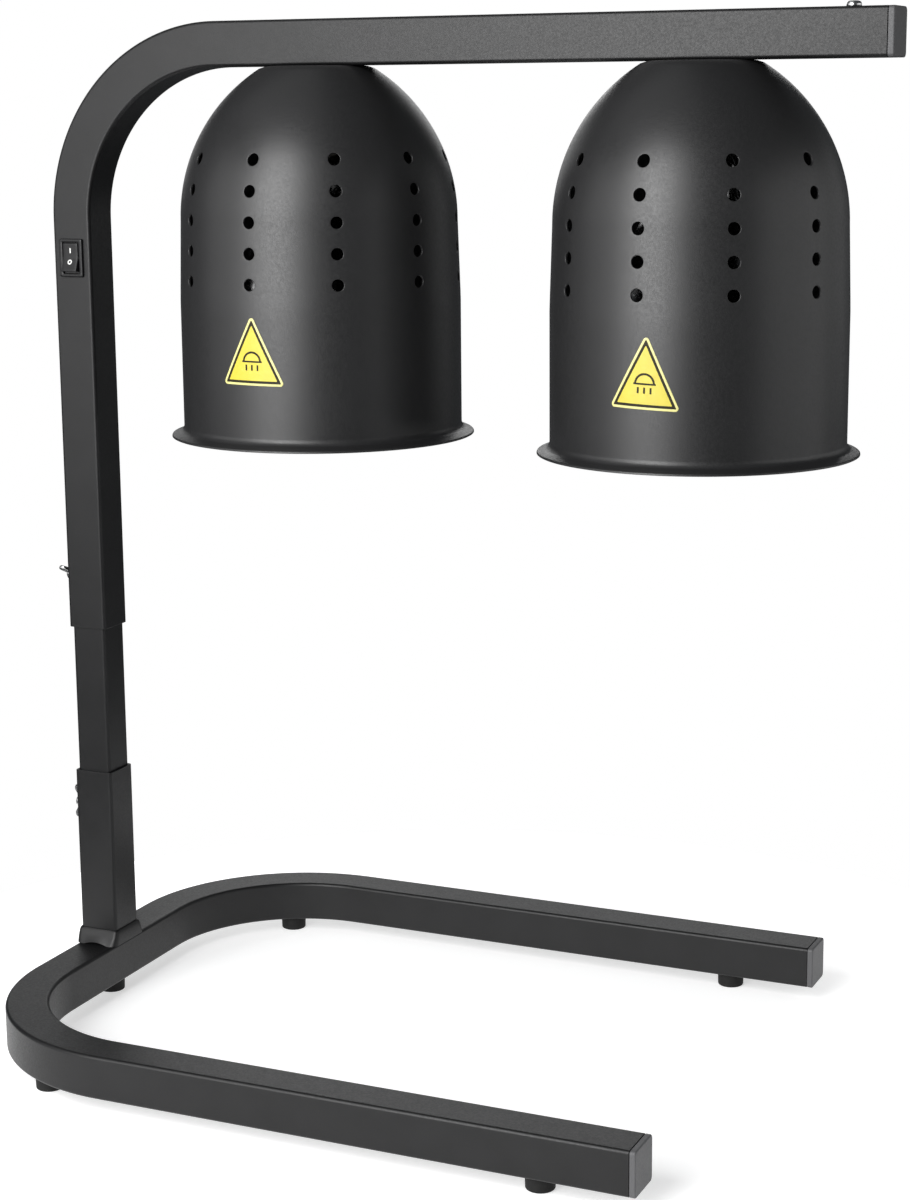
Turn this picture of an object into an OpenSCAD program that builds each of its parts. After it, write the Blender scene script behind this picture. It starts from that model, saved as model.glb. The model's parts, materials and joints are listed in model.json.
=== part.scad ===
// Twin heat lamp warmer: a U-shaped base, a telescopic square post and an arm
// that carries two ventilated shades with infrared bulbs.
// Millimetres, +Z up, origin on the table under the middle of the whole object.

/* [Tubes] */
// Outside width of the base, sleeve, post and arm tube
tube_w = 25; // [24:0.5:28]
// Outside width of the telescopic inner tube
inner_w = 22; // [20:0.5:22]
// Wall thickness of every tube
tube_wall = 1.2; // [0.8:0.1:1.2]
// Outside corner radius of the tubes
tube_corner = 2; // [1.5:0.5:4]

/* [Base] */
// Distance between the middles of the two legs
leg_spacing = 314; // [280:1:360]
// Reach of the legs in front of the post, end caps left out
leg_reach = 403.4; // [340:0.1:440]
// Middle-line radius of the two base bends
base_bend_r = 95; // [80:1:110]
// Height of the rubber feet
foot_h = 9; // [7:0.5:14]
// Diameter of the rubber feet
foot_d = 16; // [12:0.5:18]

/* [Post and arm] */
// Height of the top of the arm over the table
arm_top = 584; // [560:1:640]
// Reach of the arm from the middle of the post, end cap left out
arm_reach = 477.4; // [470:0.1:520]
// Middle-line radius of the bend between post and arm
arm_bend_r = 97; // [90:1:110]
// Height of the lower end of the post over the table
post_foot = 232; // [200:1:250]
// Height of the top of the lower sleeve over the table
sleeve_top = 143; // [130:1:160]
// Length of the telescopic inner tube
inner_len = 280; // [260:1:300]
// Depth of the inner tube in the lower sleeve, from the top of the sleeve
inner_depth = 83; // [60:1:100]

/* [Lamps] */
// Distance from the middle of the post to the first lamp
lamp_first = 155.4; // [145:0.1:170]
// Distance between the two lamps
lamp_pitch = 222.5; // [200:0.5:235]
// Outside radius of the shades where their wall is straight
shade_r = 78.4; // [70:0.1:80]
// Outside radius of the flared rim
rim_r = 85.3; // [80:0.1:90]
// Height of a shade from its rim to its flat top
shade_h = 203.2; // [190:0.1:210]
// Sheet thickness of the shades
shade_t = 1; // [0.8:0.1:1.5]
// Diameter of the vent holes
vent_d = 6.5; // [4:0.5:8]
// Largest diameter of the bulb
bulb_d = 125; // [95:1:130]

/* [Controls] */
// Height of the middle of the rocker switch
switch_z = 452; // [445:1:455]
// Height of the upper wing screw
upper_screw_z = 262; // [255:1:280]
// Height of the lower wing screw
lower_screw_z = 119.5; // [90:0.5:125]

/* [Hidden] */
LAMPS = ["a", "b"];
fine = 96;
mid = 48;
eps = 0.01;
half = tube_w / 2;
cap_t = 3.6;
// Heights of the tubes' middle lines and inner faces
leg_mid_z = foot_h + half;
leg_top_z = foot_h + tube_w;
arm_mid_z = arm_top - half;
arm_floor_z = arm_top - tube_w;
bend_mid_z = arm_mid_z - arm_bend_r;
cavity_w = tube_w - 2 * tube_wall;
cavity_half = cavity_w / 2;
inner_foot_z = sleeve_top - inner_depth;
collar_top = leg_top_z + 9;
// Feet
foot_bend_x = 50.6;
foot_end_x = 351.5;
foot_screw_r = 2;
foot_head_r = 3.6;
foot_head_h = 2.4;
foot_well = 5;
// M5 wing screws and their weld nuts
thread_r = 2.45;
nut_bore_r = 2.5;
weld_nut_t = 2.5;
head_gap = 0.3;
weld_nut_w = 9;
tip_r = 1.9;
tip_t = 1.2;
wing_r = 2.9;
wing_mid = 8;
wing_t = 2;
wing_axial = wing_r + 0.1;
// The object spans from the wings to the arm cap, and the origin is half way
screw_head_x = -half - weld_nut_t - head_gap;
wing_reach = wing_axial + wing_r - screw_head_x;
post_x = (wing_reach - arm_reach - cap_t) / 2;
upper_wing_turn = 148;
lower_wing_turn = 90;
// Rocker switch
bezel_w = 15.5;
bezel_h = 22;
bezel_t = 1.8;
housing_w = 12.8;
housing_h = 19.2;
housing_depth = 12.5;
mouth_w = 10.6;
mouth_h = 17.8;
mouth_depth = 8;
rocker_w = 10;
rocker_h = 16.4;
rocker_tilt = 10;
rocker_pin_r = 1;
rocker_pin_clear = 0.08;
rocker_axis_y = -half - 0.4;
// Cord inlet in the back of the post
inlet_z = 424;
inlet_bore_r = 3.6;
// Lamps
lamp_x = [for (i = [0, 1]) lamp_first + i * lamp_pitch];
rim_z = arm_floor_z - shade_h;
wall_top_z = arm_floor_z - 83;
wall_top_r = shade_r - 1.4;
taper_foot_z = arm_floor_z - 127;
flare_z = rim_z + 6.6;
lip_h = 1.5;
crown_r = 96.3;
crown_in = crown_r - wall_top_r;
crown_steps = 14;
vent_rows = 5;
vent_cols = 10;
vent_step_z = 16.4;
vent_top_z = arm_floor_z - 49;
vent_turn = [-92, -95];
nipple_r = 5;
nipple_bore = 3.5;
contact_z = arm_floor_z - 15;
cap_foot_z = contact_z - 27;
bulb_end_z = contact_z - 181;
holder_r = 22;
holder_foot_z = cap_foot_z - 1;
label_side = 36;
label_turn = -91.3;
label_lean = [0.5, 2];
label_foot_z = [rim_z + 35.2, rim_z + 32];
label_t = 0.3;
// Wires: distance outside the tube's middle line and to either side of it
wire_r = 1.1;
drop_r = 0.9;
wire_out = 2.5;
wire_side = 1.6;
earth_out = 9.2;
wire_past = 4;
wires_foot_z = switch_z + 14;
terminal_pitch = 6;
terminal_t = 0.8;
terminal_w = 4.6;
arm_screw_x = arm_reach - 20.4;
block_x = arm_bend_r + 12;

// ---------- shared shapes ----------

// Square with rounded corners, made of true arcs
module round_square(w, h, r) {
    square([w - 2 * r, h], center = true);
    square([w, h - 2 * r], center = true);
    for (x = [-1, 1], y = [-1, 1])
        translate([x * (w / 2 - r), y * (h / 2 - r)]) circle(r = r, $fn = mid);
}

// Section of a tube of outside width w
module tube_section(w, wall = tube_wall) {
    difference() {
        round_square(w, w, tube_corner);
        round_square(w - 2 * wall, w - 2 * wall, tube_corner - wall);
    }
}

// Everything is drawn about the post and then moved to stand over the origin
module at_post() {
    translate([post_x, 0, 0]) children();
}

// Moves a lamp's pieces, drawn about their own axis, to lamp i on the arm
module at_lamp(i) {
    at_post() translate([lamp_x[i], 0, 0]) children();
}

// Solid bar, used where something runs from height z0 to height z1
module bar(r, z0, z1) {
    translate([0, 0, z0]) cylinder(r = r, h = z1 - z0, $fn = mid);
}

// Bar along +X from x0 to x1
module x_bar(r, x0, x1) {
    translate([x0, 0, 0]) rotate([0, 90, 0]) cylinder(r = r, h = x1 - x0, $fn = mid);
}

// ---------- base ----------

// Middle of the outer foot on bend side s, -1 in front and 1 at the rear
function bend_foot(s) = [
    foot_bend_x,
    s * (leg_spacing / 2 - base_bend_r + sqrt(pow(base_bend_r, 2) - pow(base_bend_r - foot_bend_x, 2)))
];
function foot_places() = [
    [0, 0],
    bend_foot(-1),
    bend_foot(1),
    [foot_end_x, -leg_spacing / 2],
    [foot_end_x, leg_spacing / 2]
];

module base_bend(s) {
    translate([base_bend_r, s * (leg_spacing / 2 - base_bend_r), leg_mid_z])
        rotate([0, 0, s > 0 ? 90 : 180])
            rotate_extrude(angle = 90, $fn = fine)
                translate([base_bend_r, 0]) tube_section(tube_w);
}

module base_frame() {
    straight = leg_spacing - 2 * base_bend_r;
    color("#2b2b2d") at_post() difference() {
        union() {
            translate([0, straight / 2, leg_mid_z]) rotate([90, 0, 0])
                linear_extrude(straight) tube_section(tube_w);
            for (s = [-1, 1]) {
                base_bend(s);
                translate([base_bend_r, s * leg_spacing / 2, leg_mid_z]) rotate([90, 0, 90])
                    linear_extrude(leg_reach - base_bend_r) tube_section(tube_w);
            }
        }
        for (p = foot_places())
            translate([p[0], p[1], foot_h - 1]) cylinder(r = foot_screw_r, h = 3, $fn = mid);
    }
}

// Ribbed plug with a cushioned flange, drawn at the end of a tube that points along +X
module tube_plug() {
    plug_w = cavity_w - 0.8;
    edge = 0.8;
    difference() {
        union() {
            rotate([90, 0, 90]) linear_extrude(cap_t - edge) round_square(tube_w, tube_w, tube_corner);
            translate([cap_t - edge, 0, 0]) rotate([90, 0, 90])
                linear_extrude(edge / 2) round_square(tube_w - 0.5, tube_w - 0.5, tube_corner);
            translate([cap_t - edge / 2, 0, 0]) rotate([90, 0, 90])
                linear_extrude(edge / 2) round_square(tube_w - 1.6, tube_w - 1.6, tube_corner);
            translate([-14, 0, 0]) rotate([90, 0, 90]) linear_extrude(14) round_square(plug_w, plug_w, 1.6);
            for (x = [-12, -8, -4])
                translate([x, 0, 0]) rotate([90, 0, 90])
                    linear_extrude(1) round_square(cavity_w, cavity_w, tube_corner - tube_wall);
        }
        translate([-15, 0, 0]) rotate([90, 0, 90]) linear_extrude(15) round_square(plug_w - 4, plug_w - 4, 1);
    }
}

module leg_cap(s) {
    color("#1d1d1f") at_post()
        translate([leg_reach, s * leg_spacing / 2, leg_mid_z]) tube_plug();
}

module foot(i) {
    p = foot_places()[i];
    color("#151515") at_post() translate([p[0], p[1], 0]) difference() {
        union() {
            cylinder(r = foot_d / 2 - 0.8, h = 1, $fn = mid);
            translate([0, 0, 0.8]) cylinder(r = foot_d / 2, h = foot_h - 0.8, $fn = mid);
        }
        translate([0, 0, -1]) cylinder(r = foot_head_r + 0.4, h = foot_well + 1, $fn = mid);
        translate([0, 0, -1]) cylinder(r = foot_screw_r + 0.2, h = foot_h + 2, $fn = mid);
    }
}

module foot_screws() {
    color("silver") at_post() for (p = foot_places())
        translate([p[0], p[1], foot_well]) {
            translate([0, 0, -foot_head_h]) cylinder(r = foot_head_r, h = foot_head_h, $fn = mid);
            cylinder(r = foot_screw_r, h = 12, $fn = mid);
        }
}

// Pressed saddle ring around the foot of the sleeve, arched up where the base tube runs under it
module base_collar() {
    arch_r = 20;
    arch_h = 1.6;
    color("#262628") at_post() difference() {
        hull() {
            translate([0, 0, leg_top_z]) linear_extrude(5) round_square(28.4, 35, 4.5);
            translate([0, 0, collar_top - 1]) linear_extrude(1) round_square(26.8, 27.6, 2.6);
        }
        translate([0, -20, leg_top_z + arch_h - arch_r]) rotate([-90, 0, 0])
            cylinder(r = arch_r, h = 40, $fn = fine);
        translate([0, 0, leg_top_z - 1]) linear_extrude(20) round_square(tube_w, tube_w, tube_corner);
    }
}

// ---------- telescopic post ----------

module lower_sleeve() {
    color("#2b2b2d") at_post() difference() {
        translate([0, 0, leg_top_z]) linear_extrude(sleeve_top - leg_top_z) tube_section(tube_w);
        translate([0, 0, lower_screw_z]) x_bar(3, -half - 1, -cavity_half + 1);
    }
}

module inner_tube() {
    color("#2f2f31") at_post() translate([0, 0, inner_foot_z])
        linear_extrude(inner_len) tube_section(inner_w);
}

// Hexagonal nut welded over the hole for a wing screw
module weld_nut(z) {
    color("#262628") at_post() translate([-half, 0, z]) rotate([0, -90, 0]) difference() {
        cylinder(d = weld_nut_w / cos(30), h = weld_nut_t, $fn = 6);
        translate([0, 0, -1]) cylinder(r = nut_bore_r, h = weld_nut_t + 2, $fn = mid);
    }
}

// Nylon tip that presses on the inner tube without marking its paint
module screw_tip(z) {
    color("ivory") at_post() translate([0, 0, z]) x_bar(tip_r, -cavity_half - tip_t, -cavity_half);
}

// Outline of the two wings in one plate: away from the tube along -X, outwards along Y
module wings() {
    root_y = 2.6;
    steps = 12;
    lobe = concat(
        [[-0.5, root_y]],
        [for (k = [0:steps]) let(a = 216 * k / steps)
            [wing_r * cos(a) - wing_axial, wing_mid + wing_r * sin(a)]],
        [[-3.4, root_y]]
    );
    linear_extrude(wing_t, center = true) polygon(concat(
        lobe, [for (k = [len(lobe) - 1:-1:0]) [lobe[k][0], -lobe[k][1]]]
    ));
}

// Wing screw in the back of a tube; turn is the angle of one wing from +Y at rest
module wing_screw(z, turn) {
    hub_r = 3.8;
    hub_t = 3.2;
    color("#c9cbce") at_post() translate([0, 0, z]) {
        x_bar(thread_r, screw_head_x, -cavity_half - tip_t - 0.1);
        x_bar(hub_r, screw_head_x - hub_t, screw_head_x);
        x_bar(hub_r - 0.8, screw_head_x - hub_t - 0.7, screw_head_x - hub_t);
        rotate([turn, 0, 0]) translate([screw_head_x, 0, 0]) wings();
    }
}

// ---------- upper frame ----------

module upper_frame() {
    hole_t = 2 * tube_wall + 2;
    color("#2b2b2d") at_post() difference() {
        union() {
            translate([0, 0, post_foot]) linear_extrude(bend_mid_z - post_foot) tube_section(tube_w);
            translate([arm_bend_r, 0, bend_mid_z]) rotate([90, 0, 0]) rotate([0, 0, 90])
                rotate_extrude(angle = 90, $fn = fine) translate([arm_bend_r, 0]) tube_section(tube_w);
            translate([arm_bend_r, 0, arm_mid_z]) rotate([90, 0, 90])
                linear_extrude(arm_reach - arm_bend_r) tube_section(tube_w);
        }
        translate([0, 0, upper_screw_z]) x_bar(3, -half - 1, -cavity_half + 1);
        translate([0, -half, switch_z]) cube([housing_w + 0.4, hole_t, housing_h + 0.4], center = true);
        translate([0, cavity_half - 1, inlet_z]) rotate([-90, 0, 0]) cylinder(r = 5.5, h = 4, $fn = mid);
        for (x = lamp_x)
            translate([x, 0, arm_floor_z - 1]) cylinder(r = nipple_r, h = 4, $fn = mid);
        translate([arm_screw_x, 0, arm_top - tube_wall - 1]) cylinder(r = 2, h = 4, $fn = mid);
    }
}

module arm_end_cap() {
    color("#1d1d1f") at_post() translate([arm_reach, 0, arm_mid_z]) tube_plug();
}

// Pan-head screw through the top of the arm; it bonds the earth tag to the frame
module arm_screw() {
    head_r = 3.9;
    color("silver") at_post() translate([arm_screw_x, 0, arm_top]) difference() {
        union() {
            cylinder(r = head_r, h = 1.6, $fn = mid);
            intersection() {
                cylinder(r = head_r, h = 3, $fn = mid);
                translate([0, 0, 3 - 6]) sphere(r = 6, $fn = mid);
            }
            translate([0, 0, -12]) cylinder(r = 1.95, h = 12.5, $fn = mid);
        }
        for (a = [0, 90])
            rotate([0, 0, a]) translate([-2.2, -0.45, 1.4]) cube([4.4, 0.9, 3]);
    }
}

module arm_screw_nut() {
    color("silver") at_post() translate([arm_screw_x, 0, arm_top - tube_wall - 1 - 3.2]) difference() {
        cylinder(d = 7 / cos(30), h = 3.2, $fn = 6);
        translate([0, 0, -1]) cylinder(r = 1.95, h = 6, $fn = mid);
    }
}

// Ring tag on the earth wire, between the arm's wall and the nut
module earth_tag() {
    color("goldenrod") at_post() translate([arm_screw_x, 0, arm_top - tube_wall - 1]) difference() {
        union() {
            cylinder(r = 4, h = 1, $fn = mid);
            translate([-11, -1.6, 0]) cube([8, 3.2, 1]);
        }
        translate([0, 0, -1]) cylinder(r = 1.95, h = 3, $fn = mid);
    }
}

// ---------- switch and wiring ----------

module switch_housing() {
    color("#101012") at_post() translate([0, -half, switch_z]) difference() {
        union() {
            translate([-bezel_w / 2, -bezel_t, -bezel_h / 2]) cube([bezel_w, bezel_t, bezel_h]);
            translate([-housing_w / 2, -eps, -housing_h / 2]) cube([housing_w, housing_depth, housing_h]);
        }
        translate([-mouth_w / 2, -bezel_t - 1, -mouth_h / 2]) cube([mouth_w, mouth_depth + 1, mouth_h]);
        translate([-mouth_w / 2 - 0.8, rocker_axis_y + half, 0]) rotate([0, 90, 0])
            cylinder(r = rocker_pin_r + rocker_pin_clear, h = mouth_w + 1.6, $fn = mid);
        for (k = [-1, 0, 1])
            translate([-terminal_w / 2 - 0.1, housing_depth - 2, k * terminal_pitch - terminal_t / 2])
                cube([terminal_w + 0.2, 4, terminal_t]);
    }
}

module switch_terminals() {
    color("goldenrod") at_post() translate([0, -half + housing_depth - 2, switch_z])
        for (k = [-1, 0, 1])
            translate([-terminal_w / 2, 0, k * terminal_pitch - terminal_t / 2])
                cube([terminal_w, 8, terminal_t]);
}

// Rocker with two flats that meet in a shallow valley; the I end is pressed in at rest
module switch_rocker() {
    valley = 0.9;
    color("#161618") at_post() translate([0, rocker_axis_y, switch_z]) {
        rotate([-rocker_tilt, 0, 0]) translate([-rocker_w / 2, 0, 0]) rotate([90, 0, 90])
            linear_extrude(rocker_w) polygon([
                [-valley - 0.6, 0], [-valley - 2.1, rocker_h / 2 - 0.4], [-valley - 1.7, rocker_h / 2],
                [1.6, rocker_h / 2 - 0.5], [4, 2.5], [4, -2.5], [1.6, -rocker_h / 2 + 0.5],
                [-valley - 1.7, -rocker_h / 2], [-valley - 2.1, -rocker_h / 2 + 0.4]
            ]);
        x_bar(rocker_pin_r, -mouth_w / 2 - 0.6, mouth_w / 2 + 0.6);
    }
}

// Snap-in strain relief in the back of the post
module cord_bush() {
    color("#151515") at_post() translate([0, half, inlet_z]) rotate([-90, 0, 0]) difference() {
        union() {
            cylinder(r = 7.5, h = 2, $fn = mid);
            cylinder(r = 5.6, h = 6, $fn = mid);
            translate([0, 0, -tube_wall - eps]) cylinder(r = 5.4, h = tube_wall + 2 * eps, $fn = mid);
            translate([0, 0, -tube_wall - 4]) cylinder(r = 5.2, h = 4, $fn = mid);
        }
        translate([0, 0, -10]) cylinder(r = inlet_bore_r, h = 20, $fn = mid);
    }
}

// Three-way terminal block on the floor of the arm, just past the bend
module connector_block() {
    pole_w = 6;
    color("whitesmoke") at_post()
        translate([block_x, -1.5 * pole_w, arm_floor_z + tube_wall]) difference() {
            union() {
                cube([16, 3 * pole_w, 7]);
                for (i = [0:2])
                    translate([4, (i + 0.5) * pole_w, 7 - eps]) {
                        cylinder(r = 2.4, h = 2.5, $fn = mid);
                        translate([8, 0, 0]) cylinder(r = 2.4, h = 2.5, $fn = mid);
                    }
            }
            for (i = [0:2], x = [4, 12])
                translate([x, (i + 0.5) * pole_w, 5]) cylinder(r = 1.5, h = 8, $fn = mid);
        }
}

// A wire that climbs the post at offset d outside its middle line and y to one side,
// goes round the bend and runs along the arm to end_x
module arm_wire(d, y, start_z, end_x) {
    run_r = arm_bend_r + d;
    translate([-d, y, 0]) cut_wire(start_z, bend_mid_z);
    translate([arm_bend_r, y, bend_mid_z]) rotate([90, 0, 0]) rotate([0, 0, 90])
        rotate_extrude(angle = 90, $fn = fine) translate([run_r, 0]) circle(r = wire_r, $fn = mid);
    translate([0, y, bend_mid_z + run_r]) rotate([0, 90, 0]) cut_wire(arm_bend_r, end_x);
}

// Straight stretch of wire along Z
module cut_wire(z0, z1, r = wire_r) {
    translate([0, 0, z0]) cylinder(r = r, h = z1 - z0, $fn = mid);
}

// Drop from the arm wire through the nipple into the holder of each lamp
module lamp_drops(d, y) {
    for (x = lamp_x)
        translate([x, y, 0]) cut_wire(contact_z + 4, bend_mid_z + arm_bend_r + d, drop_r);
}

module live_wire() {
    color("sienna") at_post() {
        arm_wire(wire_out, wire_side, switch_z + terminal_pitch + terminal_t / 2, lamp_x[1] + wire_past);
        lamp_drops(wire_out, wire_side);
    }
}

module neutral_wire() {
    color("steelblue") at_post() {
        arm_wire(wire_out, -wire_side, wires_foot_z, lamp_x[1] + wire_past);
        lamp_drops(wire_out, -wire_side);
    }
}

module earth_wire() {
    color("yellowgreen") at_post() arm_wire(earth_out, 0, wires_foot_z, arm_screw_x - 10);
}

// ---------- lamps ----------

// Points of the shade's wall from its flat top to the rim, g inside the outer face
function shade_wall(g) = let(
    top = asin((arm_floor_z - g - wall_top_z) / (crown_r - g)),
    flare_r = 4
) concat(
    [for (k = [0:crown_steps]) let(a = top * (1 - k / crown_steps))
        [(crown_r - g) * cos(a) - crown_in, wall_top_z + (crown_r - g) * sin(a)]],
    [[shade_r - g, taper_foot_z]],
    [for (a = [180:14:250])
        [shade_r + flare_r + (flare_r + g) * cos(a), flare_z + (flare_r + g) * sin(a)]],
    [[rim_r - g, rim_z + lip_h - 0.7 * g], [rim_r - g, rim_z]]
);

module shade(i) {
    outer = shade_wall(0);
    inner = shade_wall(shade_t);
    color("#303032") at_lamp(i) difference() {
        rotate_extrude($fn = fine) polygon(concat(
            [[nipple_r, arm_floor_z]], outer,
            [for (k = [len(inner) - 1:-1:0]) inner[k]], [[nipple_r, arm_floor_z - shade_t]]
        ));
        for (row = [0:vent_rows - 1], col = [0:vent_cols - 1])
            rotate([0, 0, vent_turn[i] + col * 360 / vent_cols])
                translate([rim_r / 2, 0, vent_top_z - row * vent_step_z]) rotate([0, 90, 0])
                    cylinder(r = vent_d / 2, h = rim_r, $fn = 24);
    }
}

module nipple(i) {
    color("silver") at_lamp(i) difference() {
        bar(nipple_r, arm_floor_z - 9, arm_floor_z + 9);
        bar(nipple_bore, arm_floor_z - 10, arm_floor_z + 10);
    }
}

module nipple_nut(i) {
    color("silver") at_lamp(i) translate([0, 0, arm_floor_z + tube_wall]) difference() {
        cylinder(d = 14 / cos(30), h = 4, $fn = 6);
        translate([0, 0, -1]) cylinder(r = nipple_r, h = 6, $fn = mid);
    }
}

// Ceramic holder, screwed on the nipple under the shade's flat top
module lamp_holder(i) {
    top = arm_floor_z - shade_t;
    color("#e9e4d8") at_lamp(i) rotate_extrude($fn = fine) polygon([
        [nipple_r, top], [11, top], [11, top - 7], [holder_r - 4, top - 9], [holder_r, top - 13],
        [holder_r, holder_foot_z + 1], [holder_r - 1, holder_foot_z], [15, holder_foot_z],
        [15, top - 16], [8, top - 16], [8, top - 9], [nipple_r, top - 9]
    ]);
}

module socket_shell(i) {
    color("silver") at_lamp(i) difference() {
        bar(15, holder_foot_z + 2, holder_foot_z + 22);
        bar(14.2, holder_foot_z + 1, holder_foot_z + 23);
    }
}

module centre_contact(i) {
    color("goldenrod") at_lamp(i) {
        translate([-3, -2.5, contact_z]) cube([10, 5, 0.6]);
        translate([5.5, 0, 0]) bar(1.2, contact_z + 0.6, arm_floor_z - shade_t - 9);
    }
}

// Edison cap of the bulb with a rolled thread
module bulb_cap(i) {
    turns = 5;
    pitch = 3.6;
    thread = [for (k = [0:turns - 1], e = [[12.5, 0], [13.2, 0.5]])
        [e[0], cap_foot_z + 2 + (k + e[1]) * pitch]];
    thread_top = cap_foot_z + 2 + turns * pitch;
    color("gainsboro") at_lamp(i) rotate_extrude($fn = mid) polygon(concat(
        [[0, cap_foot_z], [12.9, cap_foot_z]], thread,
        [[12.5, thread_top], [8, thread_top + 3], [5, thread_top + 4], [4.6, contact_z], [0, contact_z]]
    ));
}

// Points of the bulb's glass from the neck to the middle of its face, g inside the outer skin
function bulb_wall(g) = let(
    r = bulb_d / 2,
    neck_r = 19,
    belly_z = bulb_end_z + 53,
    neck_z = bulb_end_z + 127,
    face_z = bulb_end_z + 45,
    span = neck_z - belly_z,
    gain = (pow(r, 2) - pow(neck_r, 2)) / span,
    steps = 10
) concat(
    [[13 - g, cap_foot_z], [14.5 - g, cap_foot_z - 5], [neck_r - 1 - g, cap_foot_z - 12]],
    [for (k = [steps:-1:0]) let(z = belly_z + span * pow(k / steps, 1.5))
        [sqrt(pow(neck_r, 2) + gain * (neck_z - z)) - g, z]],
    [for (k = [0:steps]) let(a = 90 * k / steps)
        [(r - g) * cos(a), face_z - (face_z - bulb_end_z - g) * sin(a)]]
);

module bulb_glass(i) {
    outer = bulb_wall(0);
    inner = bulb_wall(0.9);
    color("snow") at_lamp(i) rotate_extrude($fn = fine)
        polygon(concat(outer, [for (k = [len(inner) - 1:-1:0]) inner[k]]));
}

// Glass stem, two support wires and the coiled filament
module filament(i) {
    coil_z = bulb_end_z + 78;
    coil_r = 13;
    color("gray") at_lamp(i) {
        bar(4, cap_foot_z - 40, cap_foot_z);
        for (x = [-1, 1]) {
            translate([x * 2.5, 0, 0]) bar(0.6, cap_foot_z - 46, cap_foot_z - 39);
            translate([x * 2.5, 0, cap_foot_z - 46]) sphere(r = 0.6, $fn = 24);
            translate([0, 0, cap_foot_z - 46]) rotate([0, x * 90, 0])
                translate([0, 0, 2.5]) cylinder(r = 0.6, h = coil_r - 2.5, $fn = 24);
        }
        for (x = [-coil_r, coil_r])
            translate([x, 0, 0]) bar(0.6, coil_z, cap_foot_z - 46);
        translate([0, 0, coil_z]) rotate_extrude($fn = mid)
            translate([coil_r, 0]) circle(r = 0.9, $fn = 24);
    }
}

// Isosceles triangle with round corners, standing on the X axis: each corner is an arc
// about its own centre, from the angle of one side's normal to that of the next
module label_outline() {
    corner = 1.6;
    b = label_side / 2 - corner;
    h = label_side - 2 * corner;
    lean = atan2(b, h);
    centres = [[b, 0], [0, h], [-b, 0]];
    starts = [-90, lean, 180 - lean];
    stops = [lean, 180 - lean, 270];
    steps = 5;
    translate([0, corner]) polygon([
        for (c = [0:2], k = [0:steps]) let(a = starts[c] + (stops[c] - starts[c]) * k / steps)
            centres[c] + corner * [cos(a), sin(a)]
    ]);
}

// Plain hot-surface sticker, curved round the front of the shade
module shade_label(i) {
    color("gold") at_lamp(i) difference() {
        intersection() {
            rotate([0, 0, label_turn + 90]) translate([0, -rim_r / 2, label_foot_z[i] + label_side / 2])
                rotate([90, 0, 0]) linear_extrude(rim_r / 2)
                    rotate([0, 0, -label_lean[i]]) translate([0, -label_side / 2]) label_outline();
            bar(shade_r + label_t, label_foot_z[i] - 2, label_foot_z[i] + label_side + 2);
        }
        bar(shade_r, label_foot_z[i] - 3, label_foot_z[i] + label_side + 3);
    }
}

// ---------- what is drawn ----------

base_frame();
leg_cap(-1);  // front_leg_cap
leg_cap(1);  // rear_leg_cap
foot(0);  // post_foot_pad
foot(1);  // front_bend_foot
foot(2);  // rear_bend_foot
foot(3);  // front_end_foot
foot(4);  // rear_end_foot
foot_screws();
base_collar();
lower_sleeve();
weld_nut(lower_screw_z);  // lower_weld_nut
screw_tip(lower_screw_z);  // lower_screw_tip
wing_screw(lower_screw_z, lower_wing_turn);  // lower_wing_screw
inner_tube();
upper_frame();
arm_end_cap();
arm_screw();
arm_screw_nut();
weld_nut(upper_screw_z);  // upper_weld_nut
screw_tip(upper_screw_z);  // upper_screw_tip
wing_screw(upper_screw_z, upper_wing_turn);  // upper_wing_screw
switch_housing();
switch_terminals();
switch_rocker();
cord_bush();
connector_block();
live_wire();
neutral_wire();
earth_wire();
earth_tag();
for (i = [0, 1]) {
    lamp = str("lamp_", LAMPS[i], "_");
    shade(i);
    nipple(i);
    nipple_nut(i);
    lamp_holder(i);
    socket_shell(i);
    centre_contact(i);
    bulb_cap(i);
    bulb_glass(i);
    filament(i);
    shade_label(i);
}
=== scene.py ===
"""Twin heat lamp warmer: what each piece looks like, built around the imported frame."""

import json
import math

import bmesh
import bpy
from mathutils import Matrix, Vector


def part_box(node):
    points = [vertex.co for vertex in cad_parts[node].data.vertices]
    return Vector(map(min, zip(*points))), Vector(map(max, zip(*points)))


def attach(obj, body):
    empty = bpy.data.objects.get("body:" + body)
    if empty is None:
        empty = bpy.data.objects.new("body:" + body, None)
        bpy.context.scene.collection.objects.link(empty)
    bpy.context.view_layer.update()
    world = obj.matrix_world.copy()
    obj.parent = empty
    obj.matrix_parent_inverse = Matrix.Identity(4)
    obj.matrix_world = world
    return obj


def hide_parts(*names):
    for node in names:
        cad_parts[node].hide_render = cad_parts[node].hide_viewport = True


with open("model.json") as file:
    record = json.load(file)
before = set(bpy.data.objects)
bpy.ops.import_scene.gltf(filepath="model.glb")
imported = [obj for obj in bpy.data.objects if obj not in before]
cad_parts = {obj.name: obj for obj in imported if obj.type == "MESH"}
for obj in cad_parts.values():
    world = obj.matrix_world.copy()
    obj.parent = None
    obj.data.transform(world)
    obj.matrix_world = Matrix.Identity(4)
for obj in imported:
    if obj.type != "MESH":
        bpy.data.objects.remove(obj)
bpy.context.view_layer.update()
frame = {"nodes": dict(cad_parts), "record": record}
MM = 0.001
scene = bpy.context.scene
SLOT_OF = {s["node"]: s["material_slot"] for s in frame["record"]["subparts"]}
BODY_OF = {n: b for b, ns in frame["record"]["behaviour"]["bodies"].items() for n in ns}


# ---------- camera ----------


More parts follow.
